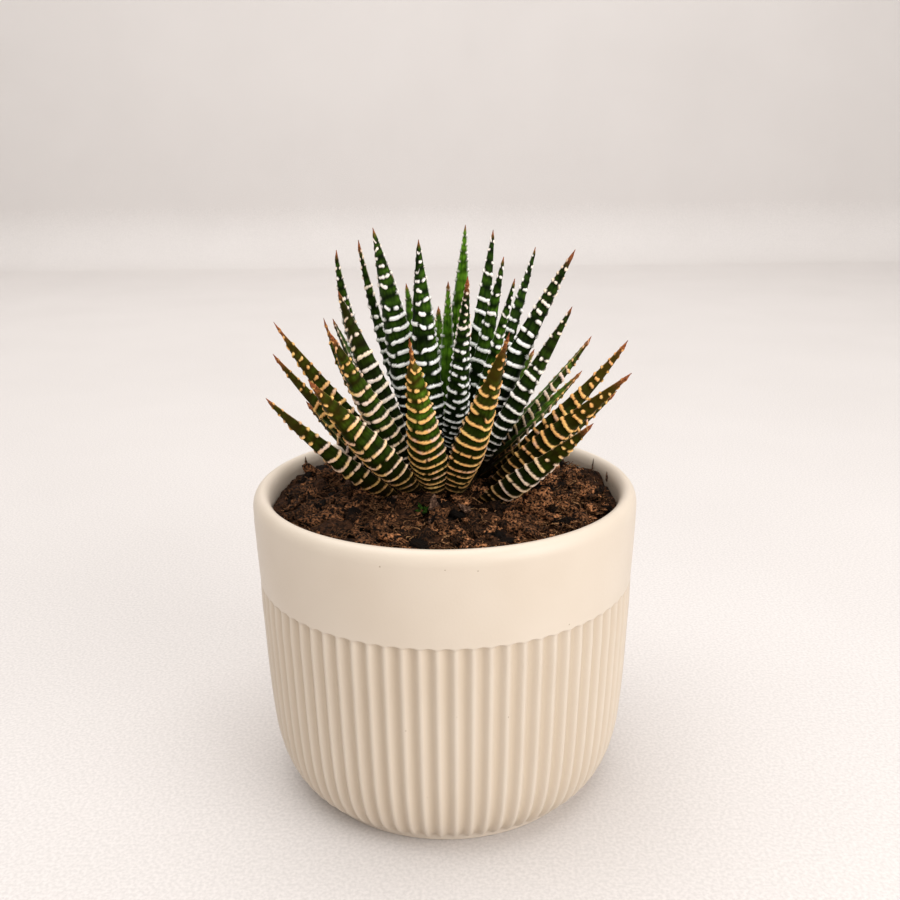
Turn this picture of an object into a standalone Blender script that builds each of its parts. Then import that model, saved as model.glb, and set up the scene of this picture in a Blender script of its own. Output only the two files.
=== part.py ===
"""Potted haworthia: a rosette of cross-banded leaves on a short stem, set in soil in a fluted pot.

Run with: blender --background --python part.py
Lengths are written in millimetres and scaled to metres where a mesh is made. +Z is up, the pot's
axis is the Z axis, the table is z = 0 and the front of the plant faces -Y.
"""
import math
from collections import namedtuple

import bmesh
import bpy
from mathutils import Matrix, Vector

MM = 0.001
GAP = 0.3                     # clearance between solids that touch on the real plant

# Pot
POT_RADIUS = 50.0
POT_HEIGHT = 82.0
WALL_THICKNESS = 4.6          # at the rim
FLUTES = 76
FLUTE_DEPTH = 0.8
FLUTE_TOP = 58.0              # the smooth band starts here
FLUTE_TOP_RADIUS = 49.4
RIM_SIDES = FLUTES            # sides of the smooth rings outside and on the rim
INSIDE_SIDES = FLUTES // 2    # sides of the rings inside and under the foot
RIM_ROUND = 3.6               # height of the rounded rim
RIM_ANGLES = [0, 35, 65, 90, 120, 155]
FOOT_RADIUS = 39.4
RECESS_RADIUS = 34.0
RECESS_DEPTH = 1.2
# Fluted outside, height and radius from the foot up: a large round corner, then a wall that
# widens only slightly
POT_OUTSIDE = [(1.4, 40.2), (3.2, 42.2), (6.5, 44.2), (11.0, 46.1), (18.0, 47.7), (34.0, 48.8)]
# Inside, height and radius from under the rim down to the floor
POT_INSIDE = [(74.4, 45.4), (24.0, 42.9), (14.0, 40.4), (6.0, 32.4)]

# Soil
SOIL_SIDES = 48
SOIL_LEVEL = 76.6             # against the wall
SOIL_MOUND = 1.8              # how much higher it is heaped around the plant
SOIL_BACK_RISE = 1.6          # and how much higher at the back wall than at the front
SOIL_LUMP = 0.8               # height of the bark lumps
SOIL_RINGS = [0.0, 0.2, 0.42, 0.64, 0.84, 1.0]   # shares of the way from the wall to the hole
PIT_RADIUS = 21.0             # hole that the stem and the leaf roots stand in, at its mouth
PIT_SIDE = [(14.0, 72.0), (10.2, 67.0), (8.8, 63.7)]   # its side further down: radius and height

# Rosette
PLANT_X = 0.0
PLANT_Y = 6.0
STEM_SIDES = 20
ROOT_WIDTH = 0.42              # width of a leaf's root, as a share of its full width
ROOT_THICKNESS = 1.7
TIP_WIDTH = 0.7
TIP_THICKNESS = 0.6
THICKNESS_RATIO = 0.45        # thickness of a leaf against its width, at its widest
WIDEST = 0.27                 # where along its length a leaf is widest
BAND_RELIEF = 0.35            # how far a raised band stands out of the leaf's back
FIRST_BAND = 0.13             # bands run from here to LAST_BAND along a leaf
LAST_BAND = 0.90

# Stem outline, height and radius: a stout dome that the leaves sit on in rising rows
STEM_OUTLINE = [(64.0, 8.0), (70.0, 9.0), (75.5, 9.4), (79.0, 9.3), (82.0, 8.7), (84.6, 7.6), (86.8, 6.1),
                (88.6, 4.2), (89.8, 2.2), (90.3, 0.8)]
ROW_HEIGHTS = [75.5, 79.0, 82.0, 84.6, 86.8, 88.6, 89.8]

# row: which height of the stem a leaf grows from
# azimuth: where round the stem it grows, in degrees from +X; swing: how far it heads off from straight outward
# roll: degrees the blade has turned about its own line by mid-length, back face towards the side
# slope: degrees above level at mid-length; bend: how much steeper its tip is than its root
# length, width: of the blade; fullness: above 1, the blade stays wide for longer before it tapers
# bands: raised bands across its back
Leaf = namedtuple("Leaf", "row azimuth swing roll slope bend length width fullness bands")
LEAVES = [
    # row 0: lowest, spreading
    Leaf(0, -149, 0, 15, 41, 8, 52, 9.0, 1.6, 12),
    Leaf(0, -47, 0, -20, 37, 10, 50, 9.0, 1.6, 12),
    Leaf(0, 6, 0, -10, 37, 4, 46, 7.0, 1.6, 10),
    Leaf(0, 58, 0, 0, 40, 0, 42, 8.0, 1.6, 8),
    Leaf(0, 92, 0, 0, 42, 4, 44, 8.5, 1.6, 8),
    Leaf(0, 130, 0, 0, 40, 4, 44, 8.5, 1.6, 8),
    Leaf(0, 165, 0, 0, 40, 4, 38, 8.0, 1.6, 8),
    # row 1
    Leaf(1, -133, 0, 35, 46, 5, 51, 9.5, 1.6, 12),
    Leaf(1, -105, 0, 10, 66, 4, 50, 9.6, 1.15, 13),
    Leaf(1, -78, 22, -15, 63, 0, 52, 9.4, 1.1, 13),
    Leaf(1, -25, 0, -30, 41, 0, 53, 9.0, 1.6, 12),
    Leaf(1, 50, 0, 0, 44, 0, 44, 7.0, 1.6, 8),
    Leaf(1, 78, 0, 0, 48, 4, 46, 8.0, 1.6, 8),
    Leaf(1, 110, 0, 0, 48, 4, 46, 8.0, 1.6, 8),
    Leaf(1, 178, 0, 30, 46, 6, 50, 7.5, 1.6, 11),
    # row 2
    Leaf(2, -166, 0, 30, 52, 8, 55, 8.0, 1.6, 12),
    Leaf(2, -137, 0, 25, 58, 6, 51, 8.5, 1.6, 12),
    Leaf(2, -6, 0, -30, 44, 16, 53, 8.5, 1.6, 12),
    Leaf(2, 24, 0, 0, 36, 4, 41, 5.5, 1.6, 8),
    Leaf(2, 92, 0, 0, 56, 4, 48, 8.0, 1.6, 8),
    Leaf(2, 145, 0, 20, 54, 4, 48, 7.5, 1.6, 9),
    # row 3
    Leaf(3, -157, 0, 35, 68, 6, 52, 9.0, 1.6, 12),
    Leaf(3, -78, 22, -15, 59, 0, 38, 5.8, 1.6, 9),
    Leaf(3, -14, 0, -30, 60, 0, 50, 8.0, 1.6, 11),
    Leaf(3, 18, 0, -20, 43, 8, 47, 7.0, 1.6, 9),
    Leaf(3, 42, 0, 10, 37, 0, 43, 5.5, 1.6, 8),
    Leaf(3, 110, 0, 0, 64, 0, 50, 7.5, 1.6, 9),
    Leaf(3, 176, 0, 30, 60, 24, 46, 6.0, 1.6, 10),
    # row 4
    Leaf(4, -155, 0, 42, 79, -6, 62, 9.0, 1.6, 13),
    Leaf(4, -112, 0, 12, 82, 8, 59, 7.6, 1.6, 13),
    Leaf(4, -74, 2, -5, 75, 2, 52, 6.0, 1.3, 13),
    Leaf(4, -43, 0, -10, 71, 0, 52, 5.0, 1.6, 11),
    Leaf(4, -7, 0, -36, 64, -12, 61, 9.0, 1.6, 13),
    Leaf(4, 29, 0, -55, 68, 0, 58, 7.4, 1.6, 11),
    Leaf(4, 126, 0, 0, 70, 0, 50, 5.5, 1.6, 9),
    Leaf(4, 170, 0, 40, 69, 30, 59, 8.2, 1.6, 12),
    # row 5
    Leaf(5, 157, 0, 40, 71, 10, 58, 6.5, 1.6, 12),
    Leaf(5, -25, 0, -30, 77, 0, 53, 6.2, 1.6, 11),
    Leaf(5, 19, 0, -58, 81, 0, 58, 7.8, 1.6, 12),
    Leaf(5, 67, 0, 0, 79, 0, 59, 6.6, 1.6, 10),
    Leaf(5, 109.5, 0, 0, 75, 0, 54, 6.3, 1.6, 10),
    # row 6: the young heart
    Leaf(6, 80, 0, 0, 82, 0, 43, 4.5, 1.6, 8),
    Leaf(6, -150, 0, 0, 84, 0, 36, 4.5, 1.6, 7),
    Leaf(6, -50, 0, 0, 84, 0, 34, 4.5, 1.6, 7),
]


def smooth_step(low, high, value):
    """0 below low, 1 above high, an even S-curve between."""
    t = min(max((value - low) / (high - low), 0.0), 1.0)
    return t * t * (3.0 - 2.0 * t)


# ---------------------------------------------------------------- materials and objects

def make_material(name, colour, roughness, coat=0.0):
    """A plain Principled material."""
    material = bpy.data.materials.new(name)
    material.use_nodes = True
    shader = material.node_tree.nodes["Principled BSDF"]
    shader.inputs["Base Color"].default_value = (*colour, 1.0)
    shader.inputs["Roughness"].default_value = roughness
    shader.inputs["Metallic"].default_value = 0.0
    shader.inputs["Coat Weight"].default_value = coat
    return material


def object_from_rings(name, rings, material, sharp_angle=40.0):
    """One closed body from a list of rings of points in millimetres, first to last.

    Neighbouring rings have the same number of points, or one has twice as many as the other.
    The first and the last ring are closed by a flat face, or by a fan if they have one point.
    """
    bm = bmesh.new()
    vert_rings = []
    for ring in rings:
        vert_rings.append([bm.verts.new(Vector(point) * MM) for point in ring])
    for lower, upper in zip(vert_rings, vert_rings[1:]):
        bridge_rings(bm, lower, upper)
    for ring in (vert_rings[0], vert_rings[-1]):
        if len(ring) > 2:
            bm.faces.new(ring)
    bmesh.ops.recalc_face_normals(bm, faces=bm.faces)
    mesh = bpy.data.meshes.new(name)
    bm.to_mesh(mesh)
    bm.free()
    mesh.shade_smooth()
    mesh.set_sharp_from_angle(angle=math.radians(sharp_angle))
    mesh.materials.append(material)
    obj = bpy.data.objects.new(name, mesh)
    bpy.context.scene.collection.objects.link(obj)
    return obj


def bridge_rings(bm, lower, upper):
    """Faces between two rings: quads, a fan to a single point, or a step from n to 2n points."""
    if len(lower) == len(upper):
        count = len(lower)
        for i in range(count):
            j = (i + 1) % count
            bm.faces.new((lower[i], lower[j], upper[j], upper[i]))
    elif len(upper) == 1 or len(lower) == 1:
        ring, point = (lower, upper[0]) if len(upper) == 1 else (upper, lower[0])
        for i in range(len(ring)):
            bm.faces.new((ring[i], ring[(i + 1) % len(ring)], point))
    else:
        coarse, fine = (lower, upper) if len(lower) < len(upper) else (upper, lower)
        count = len(coarse)
        for i in range(count):
            j = (i + 1) % count
            bm.faces.new((coarse[i], fine[2 * i], fine[2 * i + 1]))
            bm.faces.new((coarse[i], fine[2 * i + 1], coarse[j]))
            bm.faces.new((coarse[j], fine[2 * i + 1], fine[(2 * i + 2) % (2 * count)]))


def ring_points(radius, height, sides, wave=0.0):
    """A level ring; with a wave, every other point lies that much further in."""
    points = []
    for i in range(sides):
        angle = math.tau * i / sides
        r = radius - (wave if i % 2 else 0.0)
        points.append((r * math.cos(angle), r * math.sin(angle), height))
    return points


def around_plant(ring):
    """The same ring, moved from the pot's axis to the plant's."""
    return [(x + PLANT_X, y + PLANT_Y, z) for x, y, z in ring]


# ---------------------------------------------------------------- pot

def build_pot():
    """The pot as one body: recessed foot, fluted wall, smooth band, round rim, inside."""
    rings = [
        ring_points(RECESS_RADIUS - RECESS_DEPTH, RECESS_DEPTH, INSIDE_SIDES),
        ring_points(RECESS_RADIUS, 0.0, INSIDE_SIDES),
        ring_points(FOOT_RADIUS, 0.0, RIM_SIDES),
        ring_points(FOOT_RADIUS + 0.4, 1.0, RIM_SIDES),
    ]
    for height, radius in POT_OUTSIDE:
        rings.append(ring_points(radius, height, 2 * FLUTES, FLUTE_DEPTH))
    rings.append(ring_points(FLUTE_TOP_RADIUS, FLUTE_TOP - FLUTE_DEPTH, 2 * FLUTES, FLUTE_DEPTH))
    rings.append(ring_points(FLUTE_TOP_RADIUS, FLUTE_TOP, RIM_SIDES))
    rim_base = POT_HEIGHT - RIM_ROUND
    for degrees in RIM_ANGLES:
        angle = math.radians(degrees)
        radius = POT_RADIUS - WALL_THICKNESS / 2.0 * (1.0 - math.cos(angle))
        rings.append(ring_points(radius, rim_base + RIM_ROUND * math.sin(angle), RIM_SIDES))
    for height, radius in POT_INSIDE:
        rings.append(ring_points(radius, height, INSIDE_SIDES))
    glaze = make_material("cream_glaze", (0.72, 0.62, 0.49), 0.42, coat=0.15)
    return object_from_rings("pot", rings, glaze, sharp_angle=50.0)


# ---------------------------------------------------------------- soil

def lump(x, y):
    """Uneven bark surface: waves that cross at odd angles, between about -1 and 1."""
    waves = math.sin(0.71 * x + 0.35 * y) * math.cos(0.62 * y - 0.27 * x + 1.3)
    ripples = math.sin(1.37 * x - 0.9 * y + 2.0) * math.sin(1.1 * y + 0.5 * x)
    return 0.6 * waves + 0.4 * ripples


def soil_height(x, y):
    """Top of the soil: level at the wall, rising to the plant and a little to the back."""
    from_plant = math.hypot(x - PLANT_X, y - PLANT_Y)
    mound = SOIL_MOUND * (1.0 - smooth_step(PIT_RADIUS, 42.0, from_plant))
    rise = SOIL_BACK_RISE * smooth_step(-20.0, 42.0, y)
    return SOIL_LEVEL + mound + rise + SOIL_LUMP * lump(x, y)


def build_soil():
    """The fill of the pot, with a lumpy top and a conical hole for the stem and the leaf roots."""
    clearance = GAP + 0.2
    rings = []
    for height, radius in reversed(POT_INSIDE[1:]):
        rings.append(ring_points(radius - clearance, height + clearance, SOIL_SIDES))
    wall_radius = POT_INSIDE[0][1] - clearance
    rings.append(ring_points(wall_radius - 0.2, SOIL_LEVEL - 4.0, SOIL_SIDES))
    for share in SOIL_RINGS:
        ring = []
        at_wall = ring_points(wall_radius, 0.0, SOIL_SIDES)
        at_mouth = around_plant(ring_points(PIT_RADIUS, 0.0, SOIL_SIDES))
        for outer, inner in zip(at_wall, at_mouth):
            x = outer[0] + (inner[0] - outer[0]) * share
            y = outer[1] + (inner[1] - outer[1]) * share
            ring.append((x, y, soil_height(x, y)))
        rings.append(ring)
    for radius, height in PIT_SIDE:
        rings.append(around_plant(ring_points(radius, height, SOIL_SIDES)))
    bark = make_material("bark_soil", (0.075, 0.036, 0.022), 0.95)
    return object_from_rings("soil", rings, bark, sharp_angle=25.0)


# ---------------------------------------------------------------- rosette

def stem_radius(height):
    """Radius of the stem at a height, read off its outline."""
    for (low, low_radius), (high, high_radius) in zip(STEM_OUTLINE, STEM_OUTLINE[1:]):
        if height <= high:
            return low_radius + (high_radius - low_radius) * (height - low) / (high - low)
    return STEM_OUTLINE[-1][1]


def build_stem():
    """The short stem that every leaf grows from."""
    rings = []
    for height, radius in STEM_OUTLINE:
        rings.append(around_plant(ring_points(radius, height, STEM_SIDES)))
    pale = make_material("stem_green", (0.22, 0.26, 0.10), 0.6)
    return object_from_rings("stem", rings, pale)


def leaf_direction(leaf, along):
    """Unit vectors at a share of a leaf's length: ahead along its middle line, and level to its side."""
    azimuth = math.radians(leaf.azimuth + leaf.swing)
    slope = math.radians(leaf.slope + leaf.bend * (along - 0.5))
    outward = Vector((math.cos(azimuth), math.sin(azimuth), 0.0))
    ahead = outward * math.cos(slope) + Vector((0.0, 0.0, math.sin(slope)))
    side = Vector((-math.sin(azimuth), math.cos(azimuth), 0.0))
    return ahead, side


def leaf_centreline(leaf, steps):
    """Points of the middle line at each of the given shares of the length, added up in small steps."""
    azimuth = math.radians(leaf.azimuth)
    height = ROW_HEIGHTS[leaf.row]
    reach = stem_radius(height) + GAP + 0.3
    point = Vector((PLANT_X + reach * math.cos(azimuth), PLANT_Y + reach * math.sin(azimuth), height))
    points = []
    done = 0.0
    for share in steps:
        ahead, _ = leaf_direction(leaf, (done + share) / 2.0)
        point = point + ahead * (leaf.length * (share - done))
        points.append(point)
        done = share
    return points


def blade_width(leaf, along):
    """Narrow at the root, widest at WIDEST, then a long taper to a bristle tip."""
    if along < WIDEST:
        opening = math.sin(math.pi / 2.0 * along / WIDEST)
        return leaf.width * (ROOT_WIDTH + (1.0 - ROOT_WIDTH) * opening)
    taper = (along - WIDEST) / (1.0 - WIDEST)
    return TIP_WIDTH + (leaf.width - TIP_WIDTH) * (1.0 - taper ** leaf.fullness)


def blade_thickness(leaf, along):
    """Follows the width, but starts thin at the root where leaves crowd."""
    swell = smooth_step(-0.1, 0.45, along)
    thick = ROOT_THICKNESS + (leaf.width * THICKNESS_RATIO - ROOT_THICKNESS) * swell
    if along < WIDEST:
        return thick
    taper = (along - WIDEST) / (1.0 - WIDEST)
    return TIP_THICKNESS + (thick - TIP_THICKNESS) * (1.0 - taper ** leaf.fullness)


def build_leaf(name, leaf, material):
    """One leaf: a six-sided section, nearly flat above and keeled below, with raised bands."""
    segments = 2 * leaf.bands
    steps = [0.0]
    for i in range(segments + 1):
        steps.append(FIRST_BAND + (LAST_BAND - FIRST_BAND) * (i / segments) ** 1.15)
    steps.append(1.0)
    rings = []
    for i, (along, point) in enumerate(zip(steps, leaf_centreline(leaf, steps))):
        ahead, side = leaf_direction(leaf, along)
        side = Matrix.Rotation(math.radians(leaf.roll) * smooth_step(0.0, 0.5, along), 3, ahead) @ side
        inward = ahead.cross(side)
        half = blade_width(leaf, along) / 2.0
        thick = blade_thickness(leaf, along)
        on_band = i % 2 == 0 and 0 < i < len(steps) - 1
        raised = BAND_RELIEF * (1.0 - 0.5 * along) if on_band else 0.0
        hollow = 0.12 * thick * smooth_step(0.0, 0.2, along) * (1.0 - smooth_step(0.5, 0.9, along))
        section = [
            (half, 0.0),
            (0.0, -hollow),
            (-half, 0.0),
            (-half * 0.62 - raised * 0.6, -thick * 0.62 - raised * 0.6),
            (0.0, -thick - raised),
            (half * 0.62 + raised * 0.6, -thick * 0.62 - raised * 0.6),
        ]
        rings.append([point + side * across + inward * depth for across, depth in section])
    return object_from_rings(name, rings, material, sharp_angle=60.0)


def build_plant():
    """The stem and the leaves around it."""
    build_stem()
    green = make_material("leaf_green", (0.035, 0.10, 0.03), 0.4)
    for number, leaf in enumerate(LEAVES, start=1):
        build_leaf(f"leaf_{number:02d}", leaf, green)


def main():
    for obj in list(bpy.data.objects):
        bpy.data.objects.remove(obj, do_unlink=True)
    build_pot()
    build_soil()
    build_plant()


main()
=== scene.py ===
"""Potted haworthia: the dressed model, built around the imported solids.

A rosette of cross-banded leaves in bark soil, in a cream fluted pot. Lengths are written in
millimetres and scaled to metres where a mesh is made. +Z is up, the pot's axis is the Z axis, the
table is z = 0 and the front of the plant faces -Y. Surfaces are grids of points worked out as
whole arrays.
"""
import math
from collections import namedtuple

import bpy
import numpy as np
from mathutils import Matrix, Vector


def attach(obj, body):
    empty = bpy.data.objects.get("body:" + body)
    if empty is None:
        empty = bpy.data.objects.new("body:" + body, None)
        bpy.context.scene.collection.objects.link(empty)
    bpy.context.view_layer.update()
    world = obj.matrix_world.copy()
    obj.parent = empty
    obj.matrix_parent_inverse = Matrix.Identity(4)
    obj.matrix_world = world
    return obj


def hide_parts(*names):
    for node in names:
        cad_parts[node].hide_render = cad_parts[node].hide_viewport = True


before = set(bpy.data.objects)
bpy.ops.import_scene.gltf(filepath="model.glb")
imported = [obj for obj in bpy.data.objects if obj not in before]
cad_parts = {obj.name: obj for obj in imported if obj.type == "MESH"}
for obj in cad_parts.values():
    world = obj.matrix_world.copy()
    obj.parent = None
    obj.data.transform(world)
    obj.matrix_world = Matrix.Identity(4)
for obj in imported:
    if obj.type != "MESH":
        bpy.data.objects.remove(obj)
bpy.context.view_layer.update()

MM = 0.001

# Pot
POT_RADIUS = 50.0
POT_HEIGHT = 82.0
WALL_THICKNESS = 4.6
FLUTES = 76
FLUTE_STEPS = 8               # grid columns to a flute
FLUTE_DEPTH = 1.1
FLUTE_TOP = 58.8
RIM_ROUND = 3.6               # height of the rounded rim
RIM_TURN = 168.0              # degrees that the rim turns through, from outside to inside
# Its outline as radius, height: from the middle of the foot up to the rim, and down the inside to the
# middle of the floor
POT_FOOT = [(18.0, 1.25), (30.0, 1.25), (32.6, 1.2), (33.6, 0.5), (34.2, 0.0), (36.5, 0.0), (38.7, 0.0),
            (39.15, 0.35), (39.3, 0.9), (39.35, 1.45)]
POT_WALL = [(40.1, 1.7), (40.9, 2.4), (41.9, 3.4), (43.5, 5.3), (45.3, 8.7), (46.9, 14.0), (47.9, 21.0),
            (48.6, 32.0), (49.1, 46.0)]
UNDER_BAND = [(49.35, height) for height in (52.0, 56.3, 57.5, 57.9, 58.2, 58.4, 58.6, 58.8, 59.0, 59.3)]
SMOOTH_BAND = [(49.5, 62.0), (49.75, 68.0), (49.95, 74.0)]
POT_INSIDE = [(45.35, 76.0), (45.2, 60.0), (43.4, 30.0), (42.2, 18.0), (39.0, 10.5), (32.0, 6.3),
              (18.0, 6.0)]

# Soil
SOIL_LEVEL = 76.9
SOIL_MOUND = 1.6              # how much higher it is heaped around the plant
SOIL_BACK_RISE = 1.6          # and how much higher at the back wall than at the front
SOIL_LUMP = 0.5               # height of its slow lumps
SOIL_SINK = 0.8               # how far the bed lies below the soil's height, which the clods make up
SOIL_REACH = 45.0             # radius of the soil where it meets the wall
SOIL_SIDE = [(44.9, 74.0), (44.4, 60.0), (42.6, 30.0), (38.0, 11.0), (31.0, 7.0)]   # radius, height
SOIL_ROWS = 100
SOIL_COLUMNS = 330
CLODS = 150                   # how many of each there are
CRUMBS = 1300
CHIPS = 1350
FIBRES = 1500
SOIL_SEED = 11                # of the random draws
CHIP_SEED = 23
FIBRE_SEED = 31
SCRAP_SEED = 47

# Small shrivelled blades on the soil: where the foot stands in x and y, the way the blade points and how
# far it leans up from level, in radians, its length and half its width
HUSKS = [
    (-3.0, -18.0, 1.45, 0.95, 5.8, 1.1),
    (-2.9, -17.6, 4.55, -0.05, 6.0, 0.75),
    (-15.5, -9.5, 0.6, 0.35, 4.5, 1.1),
    (-24.5, 2.5, 2.2, 0.4, 4.0, 1.1),
    (6.5, -16.5, 2.4, 0.3, 4.5, 1.3),
    (41.6, 17.4, 0.3, 1.45, 3.8, 0.30),
    (44.0, 6.5, 1.5, 1.45, 3.2, 0.30),
    (-39.4, 21.6, 2.0, 1.3, 3.6, 0.35),
]
SPROUTS = [
    (-5.0, -15.9, 0.4, 0.7, 2.3, 0.6),
    (-5.6, -15.6, 2.2, 0.8, 2.6, 0.6),
    (-5.0, -15.2, 1.2, 0.5, 2.2, 0.7),
    (-5.9, -16.1, 3.6, 0.4, 2.0, 0.6),
    (-5.2, -16.5, 5.0, 0.3, 2.0, 0.6),
    (-1.2, -17.8, 1.0, 0.6, 1.6, 0.6),
]

# Rosette
PLANT_X = 0.0
PLANT_Y = 6.0
STEM_GAP = 0.6                # from the stem to a leaf's middle line
ROOT_WIDTH = 0.42
ROOT_THICKNESS = 1.7
TIP_WIDTH = 0.7
TIP_THICKNESS = 0.6
THICKNESS_RATIO = 0.45
WIDEST = 0.27
STEM_OUTLINE = [(64.0, 8.0), (70.0, 9.0), (75.5, 9.4), (79.0, 9.3), (82.0, 8.7), (84.6, 7.6), (86.8, 6.1),
                (88.6, 4.2), (89.8, 2.2), (90.3, 0.8)]   # height, radius
ROW_HEIGHTS = [75.5, 79.0, 82.0, 84.6, 86.8, 88.6, 89.8]

# Bands of tubercles across a leaf's back
FIRST_BAND = 0.07
LAST_BAND = 0.95
BAND_STEPS = np.array([-0.62, -0.44, -0.24, 0.0, 0.24, 0.44, 0.62])   # grid rows across a band
BAND_RELIEF = 0.50
LARGEST_RUN = 0.54            # radius that no run of tubercles exceeds
BACK_STEPS = 34               # grid columns across the back of a leaf
FACE_STEPS = 8                # and across its upper face

# row: which height of the stem a leaf grows from
# azimuth: where round the stem it grows, in degrees from +X
# roll: degrees the blade has turned about its own line by mid-length, back face towards the side
# slope: degrees above level at mid-length; bend: how much steeper its tip is than its root
# length, width: of the blade
# bands: how many cross its back; warm: 0 for white bands, 1 for orange ones
# dry: how much of its tip has dried, in millimetres; tone: how light its green is
# swing: how far it heads off from straight outward, in degrees
# fullness: above 1, the blade stays wide for longer before it tapers
# broken: how far its bands have broken up into dashes
Leaf = namedtuple("Leaf", "row azimuth roll slope bend length width bands warm dry tone "
                  "swing fullness broken", defaults=[0, 1.6, 0.2])
LEAVES = [
    # row 0: lowest, spreading
    Leaf(0, -149, 15, 41, 8, 52, 9.0, 17, 0.65, 3.0, 0.15),
    Leaf(0, -47, -20, 37, 10, 50, 9.0, 17, 0.45, 4.7, 0.15),
    Leaf(0, 6, -10, 37, 4, 46, 7.0, 17, 0.7, 4.7, 0.3),
    Leaf(0, 58, 0, 40, 0, 42, 8.0, 15, 0.5, 4.7, 0.2),
    Leaf(0, 92, 0, 42, 4, 44, 8.5, 16, 0.4, 4.7, 0.2),
    Leaf(0, 130, 0, 40, 4, 44, 8.5, 16, 0.5, 4.7, 0.2),
    Leaf(0, 165, 0, 40, 4, 38, 8.0, 14, 0.5, 4.7, 0.2),
    # row 1
    Leaf(1, -133, 35, 46, 5, 51, 9.5, 16, 0.68, 5.7, 0.25),
    Leaf(1, -105, 10, 66, 4, 50, 9.6, 19, 0.9, 8.6, 0.8, fullness=1.15),
    Leaf(1, -78, -15, 63, 0, 52, 9.4, 19, 0.95, 6.5, 0.35, swing=22, fullness=1.1),
    Leaf(1, -25, -30, 41, 0, 53, 9.0, 19, 0.9, 5.7, 0.1),
    Leaf(1, 50, 0, 44, 0, 44, 7.0, 16, 0.2, 3.8, 0.4),
    Leaf(1, 78, 0, 48, 4, 46, 8.0, 17, 0.3, 3.8, 0.3),
    Leaf(1, 110, 0, 48, 4, 46, 8.0, 17, 0.3, 3.8, 0.3),
    Leaf(1, 178, 30, 46, 6, 50, 7.5, 18, 0.9, 5.7, 0.25),
    # row 2
    Leaf(2, -166, 30, 52, 8, 55, 8.0, 20, 0.9, 6.8, 0.2),
    Leaf(2, -137, 25, 58, 6, 51, 8.5, 19, 0.5, 4.7, 0.35),
    Leaf(2, -6, -30, 44, 16, 53, 8.5, 19, 0.95, 5.0, 0.2),
    Leaf(2, 24, 0, 36, 4, 41, 5.5, 15, 0.5, 5.7, 0.7),
    Leaf(2, 92, 0, 56, 4, 48, 8.0, 17, 0.1, 3.0, 0.4),
    Leaf(2, 145, 20, 54, 4, 48, 7.5, 17, 0.2, 3.0, 0.3),
    # row 3
    Leaf(3, -157, 35, 68, 6, 52, 9.0, 19, 0.3, 2.3, 0.15),
    Leaf(3, -78, -15, 59, 0, 38, 5.8, 15, 0.5, 7.0, 0.2, swing=22),
    Leaf(3, -14, -30, 60, 0, 50, 8.0, 18, 0.12, 2.3, 0.2),
    Leaf(3, 18, -20, 43, 8, 47, 7.0, 17, 0.45, 4.7, 0.6),
    Leaf(3, 42, 10, 37, 0, 43, 5.5, 16, 0.1, 2.3, 0.8),
    Leaf(3, 110, 0, 64, 0, 50, 7.5, 18, 0.05, 2.3, 0.5),
    Leaf(3, 176, 30, 60, 24, 46, 6.0, 17, 0.5, 6.8, 0.5),
    # row 4
    Leaf(4, -155, 42, 79, -6, 62, 9.0, 23, 0.02, 2.3, 0.35),
    Leaf(4, -112, 12, 82, 8, 59, 7.6, 21, 0.0, 2.0, 0.3, broken=0.45),
    Leaf(4, -74, -5, 75, 2, 52, 6.0, 26, 0.0, 5.0, 0.3, swing=2, fullness=1.3, broken=1.0),
    Leaf(4, -43, -10, 71, 0, 52, 5.0, 19, 0.0, 2.0, 0.5),
    Leaf(4, -7, -36, 64, -12, 61, 9.0, 22, 0.03, 4.7, 0.15),
    Leaf(4, 29, -55, 68, 0, 58, 7.4, 21, 0.0, 2.0, 0.35),
    Leaf(4, 126, 0, 70, 0, 50, 5.5, 18, 0.0, 2.0, 0.6),
    Leaf(4, 170, 40, 69, 30, 59, 8.2, 21, 0.02, 2.6, 0.3),
    # row 5
    Leaf(5, 157, 40, 71, 10, 58, 6.5, 21, 0.05, 4.2, 0.3),
    Leaf(5, -25, -30, 77, 0, 53, 6.2, 19, 0.0, 2.0, 0.5, broken=0.7),
    Leaf(5, 19, -58, 81, 0, 58, 7.8, 17, 0.0, 2.3, 0.3),
    Leaf(5, 67, 0, 79, 0, 59, 6.6, 21, 0.0, 2.0, 0.9, broken=0.5),
    Leaf(5, 109.5, 0, 75, 0, 54, 6.3, 20, 0.0, 2.0, 0.9, broken=0.6),
    # row 6: the young heart
    Leaf(6, 80, 0, 82, 0, 43, 4.5, 16, 0.0, 3.0, 0.8, broken=0.8),
    Leaf(6, -150, 0, 84, 0, 36, 4.5, 13, 0.0, 2.3, 0.9, broken=0.9),
    Leaf(6, -50, 0, 84, 0, 34, 4.5, 13, 0.0, 2.3, 0.9, broken=0.9),
]

# Colours. A pair is the two ends that a mottle runs between
CREAM = (0.600, 0.508, 0.412), (0.630, 0.542, 0.448)
# Glaze in the flutes' hollows: pooling and painted shade
CREAM_IN_HOLLOWS = (0.490, 0.388, 0.280)
SPECK_BROWN = (0.25, 0.16, 0.09)
SKIN_DARK = (0.0010, 0.0028, 0.0004), (0.0032, 0.0085, 0.0010)
SKIN_LIGHT = (0.034, 0.115, 0.004), (0.160, 0.36, 0.022)
SKIN_OLIVE = (0.050, 0.031, 0.002)
BAND_TAN = (0.80, 0.33, 0.11), (0.95, 0.62, 0.21)
BAND_WHITE = (0.90, 0.90, 0.87), (0.98, 0.98, 0.97)
DRIED_TIP = (0.07, 0.020, 0.009), (0.40, 0.125, 0.045)
# Grime and painted shade at the leaf roots
DIRT_AND_SHADE = (0.012, 0.0065, 0.003)
CRUMB_BROWN = (0.003, 0.0016, 0.0010), (0.075, 0.031, 0.014)
SOIL_TAN = (0.16, 0.062, 0.024), (0.90, 0.42, 0.18)
CHIP_BROWN = (0.0040, 0.0020, 0.0010), (0.95, 0.40, 0.17)
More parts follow.
